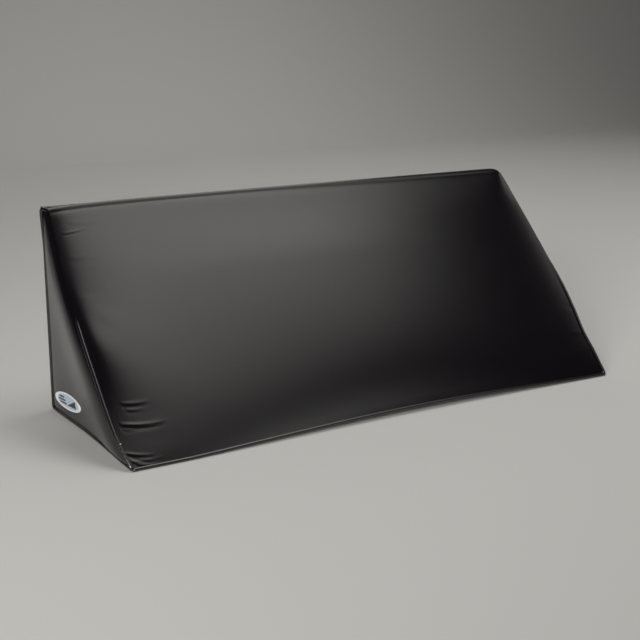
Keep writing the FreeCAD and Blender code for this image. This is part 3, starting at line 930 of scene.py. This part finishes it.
PANELS = Panels()
slope_piece(PANELS)
END_PIECES = {side: end_piece(PANELS, side) for side in ("left", "right")}
STRIP_PIECE = hemmed_piece(PANELS, "cover_back_strip", PANELS.back[:, :STRIP_ROWS + 1], "back_strip")
PANEL_PIECE = hemmed_piece(PANELS, "cover_back_panel", PANELS.back[:, STRIP_ROWS + SLOT_ROWS:],
                           "back_panel")
for which in ("left", "right"):
    zip_end_piece(PANELS, which)
base_piece(PANELS)
grip_dots()


# ---------------- piping
def sunk_seam(side, share):
    """A slope seam's line, which sinks between its two panels in the upper part of the slope."""
    inward = np.array([-SIGN[side], 0.7, -0.7])
    depth = SEAM_SINK * smooth((share - 0.35) / 0.25) * smooth((1 - share) / 0.04)
    return slope_seam(side, share) + depth[:, None] * inward / np.linalg.norm(inward)


def seam_paths():
    """The piped seams' lines: a closed loop at each end, and the toe, the ridge and the heel."""
    share = np.linspace(0, 1, ALONG + 1)
    paths = {}
    for side in ("left", "right"):
        heights = back_heights()[::-1]
        back = np.stack([back_reach(side, heights), np.full_like(heights, HEEL.y), heights], axis=1)
        loop = np.vstack([sunk_seam(side, share)[:-1], back[:-1], foot_seam(side, share)[::-1][:-1]])
        paths[side] = (loop, True)
    level = np.ones(200)
    toe_x, ridge_x = (np.linspace(slope_seam("left", end)[0], slope_seam("right", end)[0], 200)
                      for end in (0.0, 1.0))
    heel_x = np.linspace(-LOOP_X, LOOP_X, 200)
    paths["toe"] = (toe_seam(toe_x), False)
    paths["ridge"] = (np.stack([ridge_x, RIDGE.y * level, RIDGE.z * level], axis=1), False)
    paths["heel"] = (np.stack([heel_x, HEEL.y * level, HEEL.z * level], axis=1), False)
    return paths


for where, (line, is_closed) in seam_paths().items():
    line = rounded(evenly(line, 1.5 * MM, is_closed), 6, is_closed)
    sleeve = tube(f"piping_{where}", line, PIPING, closed=is_closed)
    finish_piece(sleeve, "piping_cloth", [f"piping_sleeve_{where}"])
    cord = tube(f"filler_{where}", line, 1.2 * MM, around=8, closed=is_closed)
    finish_piece(cord, "filler_cord", [f"piping_cord_{where}"])


# ---------------- thread
STITCH_LENGTH = 2.4 * MM
STITCH_PITCH = 3.4 * MM
THREAD_RADIUS = 0.22 * MM
STITCH_SIDES = 6
# A stitch's rings, as (share of its length, share of the thread's radius, radii above the cloth).
STITCH_RINGS = [(0.0, 0.35, -0.5), (0.14, 0.95, 0.35), (0.5, 1.0, 0.6),
                (0.86, 0.95, 0.35), (1.0, 0.35, -0.5)]


def stitches(name, path, up):
    """A row of lockstitches along a path of points that lie on a surface whose outside is up."""
    path = evenly(path, STITCH_PITCH)
    up = np.array(up, float)
    turns = np.linspace(0, 2 * np.pi, STITCH_SIDES, endpoint=False)
    points, faces = [], []
    for start, end in zip(path[:-1], path[1:]):
        along = (end - start) * STITCH_LENGTH / STITCH_PITCH
        ahead = along / np.linalg.norm(along)
        side = np.cross(ahead, up)
        first = len(points)
        for share, size, lift in STITCH_RINGS:
            middle = start + along * share + up * lift * THREAD_RADIUS
            points += [middle + THREAD_RADIUS * size * (side * math.cos(turn) + up * math.sin(turn))
                       for turn in turns]
        faces += band_faces(len(STITCH_RINGS), STITCH_SIDES, first, closed=True)
    return finish_piece(make_object(name, points, faces), "thread")


def surface_of(piece):
    """A piece's surface, for finding points on it."""
    return BVHTree.FromObject(piece, bpy.context.evaluated_depsgraph_get())


def on_surface(tree, starts, direction):
    """Where rays from the starts meet a surface."""
    hits = []
    for start in starts:
        place = tree.ray_cast(Vector(start), Vector(direction))[0]
        hits.append(np.array(place) if place is not None else np.array(start, float))
    return np.array(hits)


STRIP_SURFACE, PANEL_SURFACE = surface_of(STRIP_PIECE), surface_of(PANEL_PIECE)
BEHIND = 0.3
HEM = 2.6 * MM
ZIP_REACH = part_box("zip_tape_upper")[1].x


def hem_row(tree, height):
    """A line of points along the back at one height."""
    across = np.linspace(-ZIP_REACH, ZIP_REACH, 240)
    return on_surface(tree, [(x, BEHIND, height) for x in across], (0, -1, 0))


stitches("hem_stitches_upper", hem_row(PANEL_SURFACE, PANEL_FOOT + HEM), (0, 1, 0))
stitches("hem_stitches_lower", hem_row(STRIP_SURFACE, STRIP_TOP - HEM), (0, 1, 0))


def thread_tail():
    """The loose end of thread that stands out of the left seam near the toe."""
    start = slope_seam("left", 0.085)
    steps = np.linspace(0, 1, 14)[:, None]
    curl = np.hstack([np.sin(steps * 4.0), -np.cos(steps * 3.0), np.sin(steps * 5.0)])
    root, reach = np.array([-0.3, -1.4, 1.6]) * MM, np.array([1.2, -1.6, 1.8]) * MM
    path = start + root + steps * reach + curl * 0.5 * MM
    finish_piece(tube("thread_tail", path, 0.28 * MM, around=6), "label")


thread_tail()


# ---------------- zip coils
def coil(side):
    """One half of the zip: a nylon coil, sewn along its tape."""
    low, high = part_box(f"zip_coil_{side}")
    wire = 0.3 * MM
    toward = 0.2 * MM if side == "lower" else -0.2 * MM
    middle = (low + high) / 2
    tall, deep = (high.z - low.z) / 2 - wire, (high.y - low.y) / 2 - wire
    pitch, per_turn = 1.6 * MM, 10
    count = int((high.x - low.x) / pitch)
    turn = np.arange(count * per_turn + 1) / per_turn
    offset = 0.5 if side == "upper" else 0.0
    x = low.x + (high.x - low.x - count * pitch) / 2 + turn * pitch
    angle = 2 * np.pi * (turn + offset)
    y, z = middle.y + deep * np.cos(angle), middle.z + toward + tall * np.sin(angle)
    path = np.stack([x, y, z], axis=1)
    finish_piece(tube(f"coil_{side}", path, wire, around=5), "zip_coil", [f"zip_coil_{side}"])


coil("upper")
coil("lower")


# ---------------- badge and care label
def raised(name, grid, lift, surface, direction, closed=False, skirt=0.5 * MM):
    """A thin raised piece: a grid of points on a surface, lifted off it, with its edge turned down.

    lift is one height for all the points, or one for each.
    """
    out = -np.array(direction, float)
    rows, columns = grid.shape[:2]
    lifts = np.broadcast_to(lift, (rows, columns)).reshape(-1, 1)
    points = on_surface(surface, grid.reshape(-1, 3), direction) + lifts * out
    piece = make_object(name, points, band_faces(rows, columns, closed=closed))
    shape = bmesh.new()
    shape.from_mesh(piece.data)
    bmesh.ops.remove_doubles(shape, verts=shape.verts, dist=1e-7)
    if sum(face.normal.dot(Vector(out)) for face in shape.faces) < 0:
        bmesh.ops.reverse_faces(shape, faces=shape.faces)
    rim = [edge for edge in shape.edges if edge.is_boundary]
    turned = bmesh.ops.extrude_edge_only(shape, edges=rim)["geom"]
    for vertex in (item for item in turned if isinstance(item, bmesh.types.BMVert)):
        vertex.co -= Vector(out * skirt)
    bmesh.ops.recalc_face_normals(shape, faces=shape.faces)
    shape.to_mesh(piece.data)
    shape.free()
    piece.data.polygons.foreach_set("use_smooth", [True] * len(piece.data.polygons))
    return piece


BADGE_LOW, BADGE_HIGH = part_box("badge_rim")
BADGE_MIDDLE = (BADGE_LOW + BADGE_HIGH) / 2
BADGE_LONG, BADGE_TALL = 40.8 * MM, 9.2 * MM
BADGE_TURN = math.radians(-5.6)
PATCH_LIFT, EMBLEM_LIFT = 0.45 * MM, 0.8 * MM


def on_badge(along, up):
    """Start points for rays onto the left end panel, from places measured on the badge."""
    y = BADGE_MIDDLE.y + along * math.cos(BADGE_TURN) - up * math.sin(BADGE_TURN)
    z = BADGE_MIDDLE.z + along * math.sin(BADGE_TURN) + up * math.cos(BADGE_TURN)
    return np.stack([np.full_like(y, -0.5), y, z], axis=-1)


def oval_rings(inner, outer, count):
    """Rings of an oval of the badge's shape, between two shares of its size."""
    share = np.linspace(inner, outer, count)[:, None]
    turn = np.linspace(0, 2 * np.pi, 96, endpoint=False)[None, :]
    return on_badge(BADGE_LONG * share * np.cos(turn), BADGE_TALL * share * np.sin(turn))


def make_badge(surface):
    """The sewn oval badge: a pale field, a raised white rim and a plain wedge with three bars on it."""
    toward = (1, 0, 0)
    field = raised("badge_field", oval_rings(0.02, 0.9, 8), PATCH_LIFT, surface, toward, True)
    finish_piece(field, "badge_field", ["badge_patch"])
    dome = np.sqrt(np.clip(1 - np.linspace(-0.96, 0.96, 9) ** 2, 0, 1))[:, None]
    lift = (0.45 + 0.35 * dome) * MM
    rim = raised("badge_border", oval_rings(0.80, 1.0, 9), lift, surface, toward, True)
    finish_piece(rim, "badge_rim", ["badge_rim"])
    share, part = np.meshgrid(np.linspace(0, 1, 14), np.linspace(0, 1, 8), indexing="ij")
    shapes = {"wedge": on_badge((-24 + 26 * share) * MM, (-4.0 + 8.0 * part * (1 - share)) * MM)}
    for number, (start, end) in enumerate(((5, 25), (8, 28), (11, 25))):
        height = -3.1 + 3.2 * number
        shapes[f"bar_{number + 1}"] = on_badge((start + (end - start) * share) * MM,
                                               (height - 0.8 + 1.6 * part) * MM)
    for word, grid in shapes.items():
        piece = raised(f"badge_{word}", grid, EMBLEM_LIFT, surface, toward)
        finish_piece(piece, "badge_emblem", ["badge_emblem"] if word == "wedge" else ())


make_badge(surface_of(END_PIECES["left"]))


def make_care_label(surface):
    """The blank woven care label, sewn down along its top and free at its foot."""
    low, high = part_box("care_label")
    wide, tall = np.linspace(low.x, high.x, 30), np.linspace(high.z, low.z, 16)
    across, down = np.meshgrid(wide, tall, indexing="ij")
    grid = np.stack([across, np.full_like(across, BEHIND), down], axis=-1)
    free = (high.z - down) / (high.z - low.z)
    wave = np.sin((across - low.x) / (high.x - low.x) * 2 * np.pi * 1.3 + 0.6)
    lift = (0.35 + 1.3 * free**2 + 0.35 * wave * free) * MM
    label = raised("care_ribbon", grid, lift, surface, (0, -1, 0), skirt=0.25 * MM)
    finish_piece(label, "label", ["care_label"])
    seam = on_surface(surface, grid[1:-1, 1], (0, -1, 0)) + np.array([0, 0.4, 0]) * MM
    stitches("label_stitches", seam, (0, 1, 0))


make_care_label(STRIP_SURFACE)


# ---------------- the CAD nodes that stay in sight
CARRIED_OVER = {
    "foam_core": "foam", "zip_tape_upper": "zip_tape", "zip_tape_lower": "zip_tape",
    "zip_bottom_stop": "zip_metal", "zip_top_stops": "zip_metal", "bar_tacks": "thread",
    "zip_slider": "zip_metal", "zip_pull_tab": "zip_metal",
}
for node, look in CARRIED_OVER.items():
    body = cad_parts[node]
    body.data.materials.clear()
    body.data.materials.append(LOOKS[look])


# ---------------- floor, lights and camera
def area_light(name, place, target, size, power, turn=0.0):
    """A soft rectangular light aimed at a point; turn, in degrees, swings one that hangs face down."""
    data = bpy.data.lights.new(name, "AREA")
    data.shape = "RECTANGLE"
    data.size, data.size_y = size
    data.energy = power
    data.color = (1.0, 0.985, 0.94)
    lamp = bpy.data.objects.new(name, data)
    lamp.location = place
    aimed = (Vector(target) - Vector(place)).to_track_quat("-Z", "Y").to_euler()
    lamp.rotation_euler = (aimed.x, aimed.y, aimed.z + math.radians(turn))
    bpy.context.scene.collection.objects.link(lamp)
    return lamp


def ceiling_light(name, across, deep, size, power, turn=0.0):
    """A soft light that hangs face down over the floor."""
    return area_light(name, (across, deep, 1.9), (across, deep, 0), size, power, turn)


def graded(lamp):
    """Make a light fade towards its sides and its front, as a softbox with one lamp in it does."""
    lamp.data.use_nodes = True
    tree = Nodes(lamp.data.node_tree)
    place = tree.add("SeparateXYZ")
    tree.link(tree.add("NewGeometry").outputs["Parametric"], place.inputs[0])
    fades = (("X", 0.0, 0.22, 0.0), ("X", 0.98, 0.76, 0.0), ("Y", 0.0, 0.5, 0.15))
    glow = None
    for axis, edge, full, least in fades:
        fade = tree.add("MapRange", from_min=edge, from_max=full, to_min=least)
        tree.link(place.outputs[axis], fade.inputs["Value"])
        glow = fade.outputs[0] if glow is None else tree.joined(glow, fade.outputs[0])
    tree.link(glow, tree.nodes["Emission"].inputs["Strength"])


def add_floor():
    """A plain pale floor, and a backdrop that sweeps up from it behind the board and to its right."""
    back, bend_radius = 2.2, 0.8
    bend = [(back + bend_radius * math.sin(angle), bend_radius * (1 - math.cos(angle)))
            for angle in np.linspace(0, np.pi / 2, 13)]
    look = Look("floor")
    look.set("Base Color", (0.72, 0.72, 0.71, 1))
    look.set("Roughness", 0.9)
    strips = {"floor": (-5.0, [(-5.0, 0.0), (back, 0.0)]), "backdrop": (-0.6, bend + [(3.0, 2.6)])}
    for name, (left, line) in strips.items():
        points = [(x, y, z) for y, z in line for x in (left, 5.0)]
        faces = [(2 * step, 2 * step + 1, 2 * step + 3, 2 * step + 2) for step in range(len(line) - 1)]
        strip = make_object(name, points, faces)
        strip.data.materials.append(look.material)


add_floor()
# The lights were fitted to the photo's shading and then changed.
graded(ceiling_light("overhead", 0.71, -0.35, (1.6, 1.9), 25.0, 22))
ceiling_light("overhead_front", 1.25, -1.95, (0.8, 0.8), 3.0)
ceiling_light("overhead_back", 0.95, 1.55, (1.6, 2.0), 5.0)
left_light = area_light("left", (-1.9, -1.5, 0.8), (-0.35, 0, 0.1), (0.9, 0.9), 6.5)
left_light.data.spread = math.radians(62)
area_light("right", (2.7, 0.1, 1.1), (0.3, 0, 0.1), (1.4, 1.4), 4)
area_light("back", (0.4, 2.7, 1.5), (0.2, 0, 0.2), (3.0, 1.2), 6)

world = bpy.data.worlds.new("studio")
world.use_nodes = True
world.node_tree.nodes["Background"].inputs["Color"].default_value = (0.8, 0.8, 0.8, 1)
world.node_tree.nodes["Background"].inputs["Strength"].default_value = 0.03
bpy.context.scene.world = world
bpy.context.scene.view_settings.view_transform = "Standard"

camera_data = bpy.data.cameras.new("camera")
camera_data.sensor_width = 36
camera_data.lens = 69.0
camera = bpy.data.objects.new("camera", camera_data)
camera.location = (-0.7242, -1.1345, 0.4241)
aim = Vector((-0.0285, 0, 0.0884)) - camera.location
camera.rotation_euler = aim.to_track_quat("-Z", "Y").to_euler()
bpy.context.scene.collection.objects.link(camera)
bpy.context.scene.camera = camera
